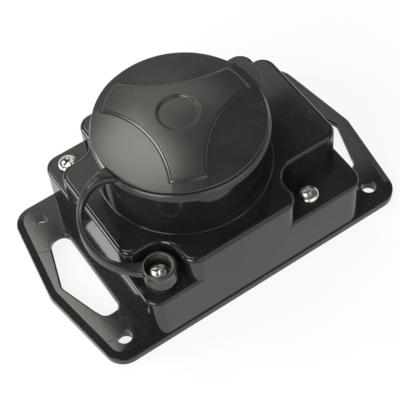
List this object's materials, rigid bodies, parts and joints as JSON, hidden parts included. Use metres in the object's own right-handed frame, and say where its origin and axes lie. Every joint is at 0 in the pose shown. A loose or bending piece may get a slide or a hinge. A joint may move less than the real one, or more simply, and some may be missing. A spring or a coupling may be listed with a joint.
{
  "type": "weatherproof socket",
  "caption": "Surface-mounted weatherproof socket: black box on a plate with handle ends, round collar closed by a domed rubber cap on a strap.",
  "frame": {"origin": "middle of the back face, on the wall", "axes": "+X along the plate towards the wiring room and cable inlet, +Y across it, +Z away from the wall along the socket"},
  "size_m": [0.1258, 0.072, 0.0613],
  "materials": {
    "housing_plastic": "black moulded plastic, semi-gloss",
    "cover_plastic": "black moulded plastic, fine texture",
    "insert_plastic": "black moulded plastic, satin",
    "base_plastic": "pale moulded plastic, satin",
    "cap_rubber": "black moulded rubber, matte",
    "seal_rubber": "black rubber, matte",
    "screw_steel": "bright zinc-plated steel",
    "contact_brass": "bright brass",
    "earth_brass": "nickel-plated brass"
  },
  "bodies": {
    "socket": {"housing": "housing_plastic", "back_cover": "cover_plastic", "back_gasket": "seal_rubber", "post_inserts": "contact_brass", "cover_screws": "screw_steel", "strap_screw": "screw_steel", "socket_insert": "insert_plastic", "insert_seal": "seal_rubber", "contact_base": "base_plastic", "line_contact": "contact_brass", "neutral_contact": "contact_brass", "earth_bracket": "earth_brass", "terminal_screws": "screw_steel", "base_screws": "screw_steel", "cable_grommet": "seal_rubber", "cord_clamp": "cover_plastic", "clamp_screws": "screw_steel", "cap_strap": "cap_rubber"},
    "cap": {"sealing_cap": "cap_rubber"}
  },
  "joints": [
    {"name": "cap_flip", "type": "hinge", "parent": "socket", "child": "cap", "pos_m": [-0.03521, -0.00415, 0.052], "axis": [0.1392, -0.9903, 0], "range_deg": [0, 160], "deforming": ["cap_strap"]}
  ]
}
